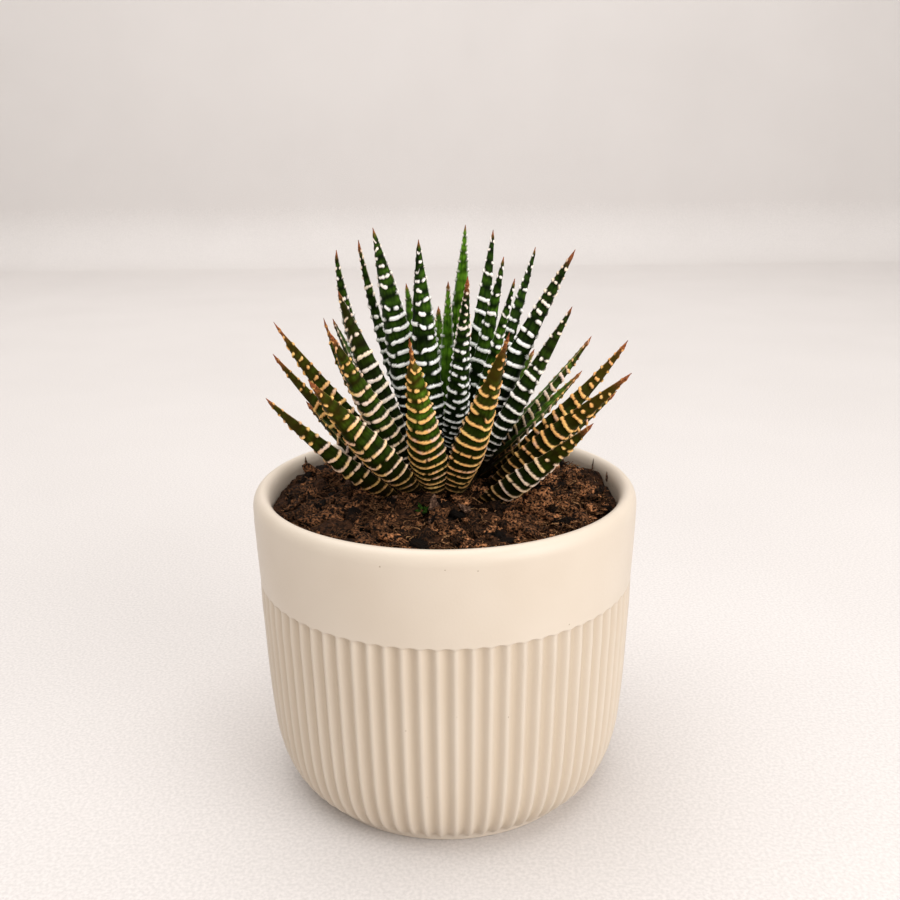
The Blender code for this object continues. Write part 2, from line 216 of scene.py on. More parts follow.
COIR_TAN = (0.10, 0.042, 0.018), (0.85, 0.44, 0.20)
HUSK_BROWN = (0.045, 0.022, 0.014), (0.38, 0.215, 0.14)
SPROUT_GREEN = (0.008, 0.026, 0.002), (0.07, 0.18, 0.012)
STEM_BROWN = (0.010, 0.006, 0.003), (0.030, 0.020, 0.008)
FLOOR_GREY = (0.635, 0.598, 0.580), (0.665, 0.628, 0.610)
FLOOR_GRAIN = (0.90, 0.90, 0.90), (1.03, 1.03, 1.03)

# Stage, in metres. Each light has a name, a position, a target, the size of its square and its power
LIGHTS = [
    ("key", (0.85, -0.70, 0.5), (0.0, 0.0, 0.05), 0.8, 9.3),
    ("front", (0.1, -1.2, 0.4), (0.0, 0.0, 0.07), 0.8, 2.2),
    ("overhead", (-0.15, 0.1, 1.6), (0.0, 0.0, 0.0), 2.0, 29.0),
    ("wall_wash", (0.0, 0.75, 1.0), (0.0, 1.33, 0.85), 1.0, 1.5),
]
SKY_COLOUR = (1.0, 0.965, 0.91)
SKY_STRENGTH = 0.55
CAMERA_PLACE = (0.0, -0.247, 0.1649)
CAMERA_TILT = 73.21           # degrees up from straight down
CAMERA_ROLL = -0.64           # degrees about its line of sight
SENSOR_WIDTH = 36.0           # millimetres, as is the lens
LENS = 39.4
SIDE_SHIFT = 0.0064

# A run of tubercles: its band, its start and end across the back from -1 to 1, its half thickness, the
# phase of its beading, and which end is swollen: -1 the start, 1 the end, 0 neither
Run = namedtuple("Run", "band start end radius phase knob")


# ---------------- shapes

def smooth_step(low, high, value):
    """0 below low, 1 above high, an even S-curve between."""
    t = np.clip((value - low) / (high - low), 0.0, 1.0)
    return t * t * (3.0 - 2.0 * t)


def smooth_curve(knots, steps):
    """A curve through the knots: cubics whose slope at a knot is half the chord of its neighbours."""
    p = np.array(knots, float)
    padded = np.vstack([2 * p[0] - p[1], p, 2 * p[-1] - p[-2]])
    t = np.linspace(0.0, 1.0, steps, endpoint=False)[None, :, None]
    a, b, c, d = (padded[i:len(p) - 1 + i, None, :] for i in range(4))
    slope_b = (c - a) / 2.0
    slope_c = (d - b) / 2.0
    curve = (b * (2 * t ** 3 - 3 * t ** 2 + 1) + slope_b * (t ** 3 - 2 * t ** 2 + t)
             + c * (3 * t ** 2 - 2 * t ** 3) + slope_c * (t ** 3 - t ** 2))
    return np.vstack([curve.reshape(-1, p.shape[1]), p[-1:]])


def turned(radius, height, turn, centre=(0.0, 0.0)):
    """A profile turned about an upright axis: the centre plus radius x cosine and sine of the turn."""
    x = centre[0] + radius * np.cos(turn)
    y = centre[1] + radius * np.sin(turn)
    return np.stack([x, y, height + 0.0 * turn], axis=-1)


def volume(points, polygons):
    """Signed volume inside the faces: the sum of a . (b x c) / 6 over the triangles of each face's fan."""
    total = 0.0
    for faces in polygons:
        for k in range(1, faces.shape[1] - 1):
            a, b, c = points[faces[:, 0]], points[faces[:, k]], points[faces[:, k + 1]]
            total += np.einsum("ij,ij->", a, np.cross(b, c)) / 6.0
    return total


def make_object(name, points, polygons, material, values=None):
    """A mesh object from points in millimetres and arrays of faces, turned to face outwards.

    values holds one number or vector for each point under each name, for the material to read.
    """
    if volume(points, polygons) < 0.0:
        polygons = [faces[:, ::-1] for faces in polygons]
    corners = np.concatenate([faces.ravel() for faces in polygons]).astype(np.int32)
    sides = np.concatenate([np.full(len(faces), faces.shape[1]) for faces in polygons])
    starts = np.concatenate([[0], np.cumsum(sides)[:-1]]).astype(np.int32)
    mesh = bpy.data.meshes.new(name)
    mesh.vertices.add(len(points))
    mesh.vertices.foreach_set("co", (points * MM).astype(np.float32).ravel())
    mesh.loops.add(len(corners))
    mesh.loops.foreach_set("vertex_index", corners)
    mesh.polygons.add(len(sides))
    mesh.polygons.foreach_set("loop_start", starts)
    mesh.polygons.foreach_set("use_smooth", np.ones(len(sides), bool))
    for key, value in (values or {}).items():
        kind, field = ("FLOAT", "value") if value.ndim == 1 else ("FLOAT_VECTOR", "vector")
        layer = mesh.attributes.new(key, kind, "POINT")
        layer.data.foreach_set(field, value.astype(np.float32).ravel())
    mesh.update(calc_edges=True)
    mesh.validate()
    mesh.materials.append(material)
    obj = bpy.data.objects.new(name, mesh)
    bpy.context.scene.collection.objects.link(obj)
    return obj


def tube_faces(rows, cols, base=0):
    """Quads of a grid that wraps round its columns, and the fans that close both ends.

    The grid's points come first, row by row, then the first end's middle point and the last end's.
    """
    index = base + np.arange(rows * cols).reshape(rows, cols)
    beside = np.roll(index, -1, axis=1)
    quads = np.stack([index[:-1], beside[:-1], beside[1:], index[1:]], axis=-1).reshape(-1, 4)
    first = np.full(cols, base + rows * cols)
    start = np.stack([beside[0], index[0], first], axis=-1)
    end = np.stack([index[-1], beside[-1], first + 1], axis=-1)
    return [quads, np.concatenate([start, end])]


def closed_tube(name, grid, material, values=None):
    """A closed piece from rows of points, each row a loop; both ends close on the middle of their row."""
    def with_ends(array):
        flat = array.reshape(-1, *array.shape[2:])
        return np.concatenate([flat, array[:1].mean(axis=1), array[-1:].mean(axis=1)])
    values = {key: with_ends(value) for key, value in (values or {}).items()}
    return make_object(name, with_ends(grid), tube_faces(*grid.shape[:2]), material, values)


def many_tubes(name, grids, material, values=None):
    """One object of many small closed tubes.

    grids is tubes x rows x columns x 3, and values holds one number for each tube under each name.
    """
    count, rows, cols, _ = grids.shape
    each = rows * cols + 2
    ends = np.stack([grids[:, 0].mean(axis=1), grids[:, -1].mean(axis=1)], axis=1)
    points = np.concatenate([grids.reshape(count, -1, 3), ends], axis=1).reshape(-1, 3)
    shift = (np.arange(count) * each)[:, None, None]
    polygons = [(faces[None] + shift).reshape(-1, faces.shape[1]) for faces in tube_faces(rows, cols)]
    values = {key: np.repeat(value, each, axis=0) for key, value in (values or {}).items()}
    return make_object(name, points, polygons, material, values)


# ---------------- node helpers

def new_material(name):
    """A material with a Principled shader; returns it and its node tree."""
    material = bpy.data.materials.new(name)
    material.use_nodes = True
    return material, material.node_tree


def feed(tree, socket, value):
    """Gives a socket a number, a colour or what another node puts out."""
    if isinstance(value, bpy.types.NodeSocket):
        tree.links.new(value, socket)
    elif isinstance(value, tuple):
        socket.default_value = (*value, 1.0)
    else:
        socket.default_value = value


def set_surface(tree, settings):
    """Gives the shader's sockets, by their labels, what makes the surface."""
    shader = tree.nodes["Principled BSDF"]
    for label, value in settings.items():
        feed(tree, shader.inputs[label], value)


def attribute(tree, name, kind="Fac"):
    """One of the mesh's own values: a number, or a place if the kind is Vector."""
    node = tree.nodes.new("ShaderNodeAttribute")
    node.attribute_name = name
    return node.outputs[kind]


def mix_colour(tree, share, first, second, mode="MIX"):
    """first turning into second by share; each is a colour or a socket."""
    node = tree.nodes.new("ShaderNodeMix")
    node.data_type = "RGBA"
    node.blend_type = mode
    for index, value in ((0, share), (6, first), (7, second)):   # the node's colour sockets
        feed(tree, node.inputs[index], value)
    return node.outputs[2]


def maths(tree, operation, *values, clamp=False):
    """One sum of numbers or sockets."""
    node = tree.nodes.new("ShaderNodeMath")
    node.operation = operation
    node.use_clamp = clamp
    for socket, value in zip(node.inputs, values):
        feed(tree, socket, value)
    return node.outputs[0]


def bump(tree, height, distance, strength=1.0):
    """Fine relief: the normal tilted by the height, which is in units of distance metres."""
    node = tree.nodes.new("ShaderNodeBump")
    feed(tree, node.inputs["Strength"], strength)
    feed(tree, node.inputs["Distance"], distance)
    feed(tree, node.inputs["Height"], height)
    return node.outputs["Normal"]


def object_position(tree):
    """The position on the piece, in metres."""
    return tree.nodes.new("ShaderNodeTexCoord").outputs["Object"]


def scaled(tree, position, factors):
    """A position stretched by a factor on each axis."""
    node = tree.nodes.new("ShaderNodeVectorMath")
    node.operation = "MULTIPLY"
    feed(tree, node.inputs[0], position)
    node.inputs[1].default_value = factors
    return node.outputs[0]


def noise_group(name, settings):
    """A group that puts out noise on a given position, its part from Low to High spread between 0 and 1.

    The settings are its inputs with their usual values; those that the noise node knows go to it.
    Returns the group and its noise node.
    """
    group = bpy.data.node_groups.new(name, "ShaderNodeTree")
    face = group.interface
    face.new_socket("Position", in_out="INPUT", socket_type="NodeSocketVector")
    for label, value in settings.items():
        socket = face.new_socket(label, in_out="INPUT", socket_type="NodeSocketFloat")
        socket.default_value = value
    face.new_socket("Mask", in_out="OUTPUT", socket_type="NodeSocketFloat")
    given = group.nodes.new("NodeGroupInput")
    result = group.nodes.new("NodeGroupOutput")
    noise = group.nodes.new("ShaderNodeTexNoise")
    spread = group.nodes.new("ShaderNodeMapRange")
    feed(group, noise.inputs["Vector"], given.outputs["Position"])
    for label in settings:
        if label in noise.inputs:
            feed(group, noise.inputs[label], given.outputs[label])
    feed(group, spread.inputs["Value"], noise.outputs["Fac"])
    feed(group, spread.inputs["From Min"], given.outputs["Low"])
    feed(group, spread.inputs["From Max"], given.outputs["High"])
    feed(group, result.inputs["Mask"], spread.outputs["Result"])
    return group, noise


def fibre_group():
    """Shared effect: thin curled lines, as of matted fibres, from ridged noise that is bent by itself."""
    group, noise = noise_group("matted_fibres", {"Scale": 500.0, "Low": 0.5, "High": 1.2})
    noise.noise_type = "RIDGED_MULTIFRACTAL"
    noise.normalize = False
    noise.inputs["Detail"].default_value = 2.5
    noise.inputs["Distortion"].default_value = 1.2
    return group


def mottle_group():
    """Shared effect: soft noise, as of clouds, patches and grain."""
    return noise_group("soft_mottle", {"Scale": 100.0, "Detail": 3.0, "Low": 0.35, "High": 0.65})[0]


MOTTLE_GROUP = mottle_group()
FIBRE_GROUP = fibre_group()


def mask_of(tree, group, position, settings):
    """Places a shared effect with its own values and returns its mask."""
    node = tree.nodes.new("ShaderNodeGroup")
    node.node_tree = group
    feed(tree, node.inputs["Position"], position)
    for label, value in settings.items():
        feed(tree, node.inputs[label], value)
    return node.outputs["Mask"]


def mottle(tree, position, scale, low=0.35, high=0.65, detail=3.0):
    """The mask of the soft mottle."""
    settings = {"Scale": scale, "Detail": detail, "Low": low, "High": high}
    return mask_of(tree, MOTTLE_GROUP, position, settings)


def fibre_lines(tree, position, scale, low, high):
    """The mask of the matted fibres."""
    return mask_of(tree, FIBRE_GROUP, position, {"Scale": scale, "Low": low, "High": high})


# ---------------- materials

def glaze_material():
    """Satin cream glaze: faintly cloudy, darker in the flutes where it pools and as painted shade, with
    tiny brown specks.
    """
    material, tree = new_material("cream_glaze")
    place = object_position(tree)
    cloud = mottle(tree, place, 45.0, 0.3, 0.7, 2.0)
    grain = mottle(tree, place, 1400.0, 0.3, 0.7, 2.0)
    cells = tree.nodes.new("ShaderNodeTexVoronoi")
    feed(tree, cells.inputs["Scale"], 420.0)
    feed(tree, cells.inputs["Vector"], place)
    draw = tree.nodes.new("ShaderNodeSeparateColor")
    feed(tree, draw.inputs[0], cells.outputs["Color"])
    near_middle = maths(tree, "LESS_THAN", cells.outputs["Distance"], 0.085)
    speck = maths(tree, "MULTIPLY", near_middle, maths(tree, "GREATER_THAN", draw.outputs[0], 0.95))
    # Darker deep in the flutes: glaze pooling and painted shade
    pooled_and_shaded = maths(tree, "MULTIPLY", attribute(tree, "hollow"), 0.8)
    colour = mix_colour(tree, pooled_and_shaded, mix_colour(tree, cloud, *CREAM), CREAM_IN_HOLLOWS)
    colour = mix_colour(tree, maths(tree, "MULTIPLY", speck, 0.6), colour, SPECK_BROWN)
    height = maths(tree, "SUBTRACT", grain, maths(tree, "MULTIPLY", speck, 3.0))
    set_surface(tree, {
        "Base Color": colour,
        "Roughness": maths(tree, "MULTIPLY_ADD", grain, 0.08, 0.44),
        "Coat Weight": 0.2,
        "Coat Roughness": 0.35,
        "Normal": bump(tree, height, 0.00002, 0.5),
    })
    return material


def leaf_material():
    """Fleshy green skin with raised tubercle bands, a root darkened by grime and painted shade, and a
    drying tip.

    straight is the place on the leaf as if it lay straight, so that streaks run along it. The skin runs
    from dark to light green by tone, which carries painted shade and light too, and to olive; the bands
    from white to tan by warm.
    """
    material, tree = new_material("leaf_skin")
    straight = attribute(tree, "straight", "Vector")
    streak = mottle(tree, scaled(tree, straight, (1.0, 1.0, 0.12)), 1500.0, 0.3, 0.7)
    patch = mottle(tree, straight, 300.0, 0.3, 0.7)
    fine = mottle(tree, straight, 2600.0, 0.3, 0.7, 2.0)
    dark = mix_colour(tree, streak, *SKIN_DARK)
    light = mix_colour(tree, streak, *SKIN_LIGHT)
    lift = maths(tree, "MULTIPLY", maths(tree, "ADD", patch, 0.15), attribute(tree, "tone"), clamp=True)
    green = mix_colour(tree, lift, dark, light)
    green = mix_colour(tree, attribute(tree, "olive"), green, SKIN_OLIVE)
    white = mix_colour(tree, fine, *BAND_WHITE)
    tan = mix_colour(tree, patch, *BAND_TAN)
    blush = maths(tree, "MULTIPLY", attribute(tree, "warm"), maths(tree, "ADD", patch, 0.75), clamp=True)
    marking = mix_colour(tree, blush, white, tan)
    band = attribute(tree, "band")
    skin = mix_colour(tree, band, green, marking)
    skin = mix_colour(tree, attribute(tree, "dry"), skin, mix_colour(tree, fine, *DRIED_TIP))
    # Grime and painted shade darken the root
    dirt_and_shade = maths(tree, "MULTIPLY", attribute(tree, "soiled_and_shaded"), maths(tree, "ADD", patch, 0.6), clamp=True)
    height = maths(tree, "ADD", maths(tree, "MULTIPLY", fine, 0.4), streak)
    set_surface(tree, {
        "Base Color": mix_colour(tree, dirt_and_shade, skin, DIRT_AND_SHADE),
        "Roughness": maths(tree, "MULTIPLY_ADD", band, 0.15, 0.46),
        "Specular IOR Level": 0.03,
        "Normal": bump(tree, height, 0.00006, 0.7),
    })
    return material


def soil_material():
    """Dark damp bark and coir: curled tan fibres over brown and black crumbs."""
    material, tree = new_material("bark_soil")
    place = object_position(tree)
    crumb = mottle(tree, place, 900.0, 0.32, 0.68, 4.0)
    patch = mottle(tree, place, 200.0, 0.38, 0.62)
    fibre = fibre_lines(tree, place, 420.0, 0.55, 1.05)
    share = maths(tree, "MULTIPLY", fibre, maths(tree, "ADD", patch, 0.18), clamp=True)
    dark = mix_colour(tree, crumb, *CRUMB_BROWN)
    tan = mix_colour(tree, crumb, *SOIL_TAN)
    set_surface(tree, {
        "Base Color": mix_colour(tree, share, dark, tan),
        "Roughness": 0.9,
        "Specular IOR Level": 0.1,
        "Normal": bump(tree, maths(tree, "ADD", crumb, fibre), 0.0011),
    })
    return material


def chip_material(name, colours):
    """Loose bits on the soil: each has its own shade, partly painted shade, with grain and fibres across
    it.
    """
    material, tree = new_material(name)
    place = object_position(tree)
    grain = mottle(tree, place, 1500.0, 0.42, 0.68, 4.0)
    fibre = fibre_lines(tree, place, 600.0, 0.70, 1.05)
    texture = maths(tree, "ADD", maths(tree, "MULTIPLY", fibre, 0.9), grain)
    share = maths(tree, "MULTIPLY", attribute(tree, "shade"), texture, clamp=True)
    set_surface(tree, {
        "Base Color": mix_colour(tree, share, *colours),
        "Roughness": 0.85,
        "Specular IOR Level": 0.1,
        "Normal": bump(tree, texture, 0.0009),
    })
    return material


def stem_material():
    """Dark brown stem tissue."""
    material, tree = new_material("stem_tissue")
    patch = mottle(tree, object_position(tree), 350.0, 0.3, 0.7)
    set_surface(tree, {
        "Base Color": mix_colour(tree, patch, *STEM_BROWN),
        "Roughness": 0.7,
        "Specular IOR Level": 0.1,
        "Normal": bump(tree, patch, 0.0001, 0.5),
    })
    return material


def floor_material():
    """Pale plaster, all but plain, with a very fine grain."""
    material, tree = new_material("pale_floor")
    place = object_position(tree)
    cloud = mottle(tree, place, 9.0, 0.2, 0.8, 4.0)
    grain = mottle(tree, place, 1100.0, detail=2.0)
    plain, grained = mix_colour(tree, cloud, *FLOOR_GREY), mix_colour(tree, grain, *FLOOR_GRAIN)
    set_surface(tree, {
        "Base Color": mix_colour(tree, 1.0, plain, grained, "MULTIPLY"),
        "Roughness": 0.7,
        "Specular IOR Level": 0.2,
    })
    return material


# ---------------- pot

def build_pot(material):
    """The pot: a profile turned about the Z axis, with flutes cut into its lower wall.

    Radius at a place = profile radius - depth x reach(height) x groove(angle). The groove is a
    raised cosine made wider in its hollow. reach opens just above the foot ring and closes in a short
    step under the smooth band, which stands a little higher over the middle of each hollow. The lower
    edge of the flutes arches up over each hollow as well.
    """
    bend = smooth_curve(POT_WALL, 4)
    rim_turn = np.radians(np.linspace(0.0, RIM_TURN, 15))
    rim = np.stack([POT_RADIUS - WALL_THICKNESS / 2.0 * (1.0 - np.cos(rim_turn)),
                    POT_HEIGHT - RIM_ROUND + RIM_ROUND * np.sin(rim_turn)], axis=1)
    profile = np.vstack([POT_FOOT, bend, UNDER_BAND, SMOOTH_BAND, rim, smooth_curve(POT_INSIDE, 3)])
    radius, height = profile[:, :1], profile[:, 1:]
    order = np.arange(len(profile))[:, None]
    fluted = (order >= len(POT_FOOT)) & (order < len(POT_FOOT) + len(bend) + len(UNDER_BAND))
    turn = np.linspace(0.0, math.tau, FLUTES * FLUTE_STEPS, endpoint=False)[None, :]
    groove = (0.5 + 0.5 * np.cos(FLUTES * turn)) ** 0.75
    top = FLUTE_TOP - 0.3 + 0.25 * groove
    reach = smooth_step(1.2, 3.6, height) * (1.0 - smooth_step(top - 0.45, top, height)) * fluted
    arch = 0.9 * groove * np.exp(-((height - 1.7) / 0.7) ** 2) * fluted
    grid = turned(radius - FLUTE_DEPTH * reach * groove, height + arch, turn)
    # hollow: how deep in a flute a point lies, where the glaze darkens by pooling and painted shade
    return closed_tube("pot_body", grid, material, {"hollow": reach * groove})


# ---------------- soil

def lumps(x, y):
    """Uneven bark surface: waves that cross at odd angles, between about -1 and 1."""
    waves = np.sin(0.71 * x + 0.35 * y) * np.cos(0.62 * y - 0.27 * x + 1.3)
    ripples = np.sin(1.37 * x - 0.9 * y + 2.0) * np.sin(1.1 * y + 0.5 * x)
    return 0.6 * waves + 0.4 * ripples


def soil_height(x, y):
    """Top of the soil: level at the wall, rising to the plant and a little to the back."""
    from_plant = np.hypot(x - PLANT_X, y - PLANT_Y)
    mound = SOIL_MOUND * (1.0 - smooth_step(14.0, 42.0, from_plant))
    rise = SOIL_BACK_RISE * smooth_step(-20.0, 42.0, y)
    return SOIL_LEVEL + mound + rise + SOIL_LUMP * lumps(x, y)


def build_soil(material):
    """The fill: a round bed whose top is the soil's height plus scattered clods and crumbs.

    Each is a low dome: a share of its radius x the square root of 1 minus the squared distance. Where
    two overlap, the higher counts in full and the lower by 0.3.
    """
    rng = np.random.default_rng(SOIL_SEED)
    share = np.sqrt(np.linspace(0.0002, 1.0, SOIL_ROWS))[:, None]
    turn = np.linspace(0.0, math.tau, SOIL_COLUMNS, endpoint=False)[None, :]
    x = SOIL_REACH * share * np.cos(turn)
    y = SOIL_REACH * share * np.sin(turn)
    z = soil_height(x, y)
    reach = SOIL_REACH * np.sqrt(rng.random(CLODS + CRUMBS))
    bearing = rng.random(CLODS + CRUMBS) * math.tau
    size = np.concatenate([1.8 + 2.4 * rng.random(CLODS), 0.6 + 1.2 * rng.random(CRUMBS) ** 2])
    tall = np.concatenate([0.32 + 0.28 * rng.random(CLODS), np.full(CRUMBS, 0.7)])
    rise = np.zeros_like(z)
    for cx, cy, radius, height in zip(reach * np.cos(bearing), reach * np.sin(bearing), size, tall):
        near = ((x - cx) ** 2 + (y - cy) ** 2) / radius ** 2
        dome = height * radius * np.sqrt(np.clip(1.0 - near, 0.0, None))
        rise = np.maximum(rise, dome) + 0.3 * np.minimum(rise, dome)
    top = np.stack([x, y, z + rise - SOIL_SINK], axis=-1)
    side = [turned(radius, height, turn) for radius, height in SOIL_SIDE]
    return closed_tube("soil_bed", np.concatenate([top, *side]), material)


def rotations(rng, count, tilt):
    """Turn matrices: a free turn about Z after a lean of up to tilt radians about X and a free roll."""
    roll = rng.random(count) * math.tau
    lean = (rng.random(count) * 2.0 - 1.0) * tilt
    bearing = rng.random(count) * math.tau

    def about(axis, angle):
        one, two = [(1, 2), (2, 0), (0, 1)][axis]
        matrix = np.zeros((count, 3, 3))
        matrix[:, axis, axis] = 1.0
        matrix[:, one, one] = matrix[:, two, two] = np.cos(angle)
        matrix[:, two, one] = np.sin(angle)
        matrix[:, one, two] = -np.sin(angle)
        return matrix
    return about(2, bearing) @ about(0, lean) @ about(2, roll)


def scatter(rng, count, reach):
    """Points spread evenly over the soil, as x, y and the height of the soil there."""
    radius = reach * np.sqrt(rng.random(count))
    bearing = rng.random(count) * math.tau
    x, y = radius * np.cos(bearing), radius * np.sin(bearing)
    return np.stack([x, y, soil_height(x, y)], axis=-1)


def painted_side_shade(x):
    """How light the loose bits are: darker on the left and lighter on the right, as painted shade and
    light, an S-curve between.
    """
    return 0.60 + 1.1 * smooth_step(-34.0, 24.0, x)


def build_chips(material):
    """Bark chips: spheres of jittered radius, squashed by a factor on each axis and leaning every way."""
    rng = np.random.default_rng(CHIP_SEED)
    polar = np.radians([25.0, 58.0, 90.0, 122.0, 155.0])[None, :, None]
    turn = np.radians(np.arange(0, 360, 45))[None, None, :]
    jitter = 0.62 + 0.76 * rng.random((CHIPS, 5, 8))
    ball = np.stack([jitter * np.sin(polar) * np.cos(turn), jitter * np.sin(polar) * np.sin(turn),
                     jitter * np.cos(polar) + 0.0 * turn], axis=-1)
    size = 0.4 + 2.6 * rng.random(CHIPS) ** 2.4
    shape = np.stack([size * (0.9 + 0.7 * rng.random(CHIPS)), size * (0.6 + 0.4 * rng.random(CHIPS)),
                      size * (0.35 + 0.4 * rng.random(CHIPS))], axis=-1)
    chips = np.einsum("nij,nrcj->nrci", rotations(rng, CHIPS, 0.9), ball * shape[:, None, None, :])
    place = scatter(rng, CHIPS, SOIL_REACH - 1.6 - size)
    place[:, 2] += 0.16 * size + 0.15
    # Each chip's random shade, darkened on the left by painted shade
    shade = rng.random(CHIPS) ** 1.6 * painted_side_shade(place[:, 0])
    return many_tubes("bark_chips", chips + place[:, None, None, :], material, {"shade": shade})


def build_fibres(material):
    """Coir fibres: three-sided threads along curls, drawn in where they would pass through the wall.

    A curl is a line bent by two sine waves; a thread is thickest in its middle.
    """
    rng = np.random.default_rng(FIBRE_SEED)
    steps = np.linspace(-0.5, 0.5, 9)[None, :]
    length = (1.8 + 5.0 * rng.random(FIBRES) ** 2)[:, None]
    curl = (0.25 + 0.5 * rng.random(FIBRES))[:, None]
    phase = (rng.random(FIBRES) * math.tau)[:, None]
    waves = (2.0 + 3.5 * rng.random(FIBRES))[:, None]
    line = np.stack([length * steps, curl * np.sin(waves * 2.0 * steps + phase) * length * 0.35,
                     curl * np.cos(waves * 1.6 * steps + 2.0 * phase) * length * 0.16], axis=-1)
    line = np.einsum("nij,nrj->nri", rotations(rng, FIBRES, 0.35), line)
    place = scatter(rng, FIBRES, SOIL_REACH - 2.4)
    place[:, 2] += 0.55 + 0.5 * rng.random(FIBRES)
    line = line + place[:, None, :]
    reach = np.hypot(line[..., 0], line[..., 1])
    inside = np.minimum(1.0, (SOIL_REACH - 0.4) / np.maximum(reach, 1.0))
    line[..., 0] *= inside
    line[..., 1] *= inside
    ahead = np.gradient(line, axis=1)
    ahead /= np.linalg.norm(ahead, axis=-1, keepdims=True)
    side = np.cross(ahead, np.array([0.0, 0.0, 1.0]) + 0.01)
    side /= np.linalg.norm(side, axis=-1, keepdims=True)
    up = np.cross(side, ahead)
    turn = np.radians([0.0, 120.0, 240.0])[None, None, :, None]
    thick = ((0.09 + 0.10 * rng.random(FIBRES))[:, None] * (1.0 - 1.2 * steps ** 2))[..., None, None]
    ring = side[:, :, None, :] * np.cos(turn) + up[:, :, None, :] * np.sin(turn)
    grids = line[:, :, None, :] + thick * ring
    # Each fibre's random shade, darkened on the left by painted shade
    return many_tubes("coir_fibres", grids, material, {"shade": rng.random(FIBRES) * painted_side_shade(place[:, 0])})


def build_litter(name, scraps, lift, flatness, rng, material):
    """A few small shrivelled blades on the soil, most of them in front of the plant.

    Each is a tube along a straight line from a foot at a lift above the soil, leaning its own way. Its
    half width is half x sin(pi x share^0.7) with a crinkle round and along it, and its depth is that
    x flatness.
    """
    rows, cols = 14, 10
    share = np.linspace(0.02, 0.98, rows)[:, None]
    turn = np.linspace(0.0, math.tau, cols, endpoint=False)[None, :]
    grids = []
    for x, y, bearing, lean, length, half in scraps:
        level = math.cos(lean)
        ahead = np.array([math.cos(bearing) * level, math.sin(bearing) * level, math.sin(lean)])
        side = np.cross(ahead, [0.0, 0.0, 1.0])
        side /= np.linalg.norm(side)
        foot = np.array([x, y, soil_height(x, y) + lift])
        crinkle = 1.0 + 0.30 * np.sin(3.0 * turn + 17.0 * share) + 0.25 * (rng.random((rows, cols)) - 0.5)
        round_it = half * np.sin(math.pi * share ** 0.7) * crinkle
        grid = foot + ahead * (length * share)[..., None]
        grid = grid + side * (round_it * np.cos(turn))[..., None]
        grids.append(grid + np.cross(side, ahead) * (flatness * round_it * np.sin(turn))[..., None])
    return many_tubes(name, np.array(grids), material, {"shade": 0.6 + 0.4 * rng.random(len(scraps))})


# ---------------- rosette

def leaf_frame(leaf, along):
    """At shares of the length: the middle line's points and the unit vectors to the side and inward.

    The middle line is the running sum of its direction over small steps. The direction points outward,
    turned by the swing, and rises from level by the slope, plus the bend times the distance from
    mid-length.
    """
    around, azimuth = math.radians(leaf.azimuth), math.radians(leaf.azimuth + leaf.swing)
    height = ROW_HEIGHTS[leaf.row]
    reach = np.interp(height, *np.array(STEM_OUTLINE).T) + STEM_GAP
    outward = np.array([math.cos(azimuth), math.sin(azimuth), 0.0])
    level = np.array([-math.sin(azimuth), math.cos(azimuth), 0.0])

    def ahead_at(share):
        slope = np.radians(leaf.slope + leaf.bend * (share - 0.5))[..., None]
        return outward * np.cos(slope) + np.array([0.0, 0.0, 1.0]) * np.sin(slope)
    marks = np.linspace(0.0, 1.0, 241)
    steps = ahead_at((marks[1:] + marks[:-1]) / 2.0) * leaf.length / (len(marks) - 1)
    root = np.array([PLANT_X + reach * math.cos(around), PLANT_Y + reach * math.sin(around), height])
    line = np.vstack([root, root + np.cumsum(steps, axis=0)])
    middle = np.stack([np.interp(along, marks, line[:, k]) for k in range(3)], axis=-1)
    ahead = ahead_at(along)
    roll = (np.radians(leaf.roll) * smooth_step(0.0, 0.5, along))[..., None]
    side = level * np.cos(roll) + np.cross(ahead, level) * np.sin(roll)
    return middle, side, np.cross(ahead, side)


def blade_size(leaf, along):
    """Half width, thickness and hollow of the blade at shares of its length.

    The width opens by a quarter sine from the root to the widest place and then tapers by
    1 - taper^fullness; the thickness follows it, and both run out to a bristle at the tip. A tip that has
    dried for more than 5 mm has shrunk as well.
    """
    opening = np.sin(np.clip(along / WIDEST, 0.0, 1.0) * math.pi / 2.0)
    taper = np.clip((along - WIDEST) / (1.0 - WIDEST), 0.0, 1.0)
    left = 1.0 - taper ** leaf.fullness
    near_root = leaf.width * (ROOT_WIDTH + (1.0 - ROOT_WIDTH) * opening)
    width = np.where(along < WIDEST, near_root, TIP_WIDTH + (leaf.width - TIP_WIDTH) * left)
    swell = smooth_step(-0.1, 0.45, along)
    thick = ROOT_THICKNESS + (leaf.width * THICKNESS_RATIO - ROOT_THICKNESS) * swell
    thick = np.where(along < WIDEST, thick, TIP_THICKNESS + (thick - TIP_THICKNESS) * left)
    hollow = 0.12 * thick * smooth_step(0.0, 0.2, along) * (1.0 - smooth_step(0.5, 0.9, along))
    bristle = 1.0 - 0.12 * smooth_step(0.78, 0.96, along) - 0.6 * smooth_step(0.965, 1.0, along)
    dried = leaf.dry / leaf.length
    shrunk = 0.55 * smooth_step(5.0, 8.0, leaf.dry)
    bristle *= 1.0 - shrunk * smooth_step(1.0 - 1.1 * dried, 1.0 - 0.7 * dried, along)
    return width / 2.0 * bristle, thick * bristle, hollow


def band_places(leaf):
    """How far along the leaf each band lies, in millimetres.

    The step from one band to the next opens up to the middle of the leaf and closes a little to the tip.
    """
    order = np.linspace(0.0, 1.0, leaf.bands - 1)
    steps = 0.68 + 0.5 * smooth_step(0.0, 0.45, order) - 0.35 * smooth_step(0.6, 1.0, order)
    share = np.concatenate([[0.0], np.cumsum(steps)]) / steps.sum()
    return leaf.length * (FIRST_BAND + (LAST_BAND - FIRST_BAND) * share)


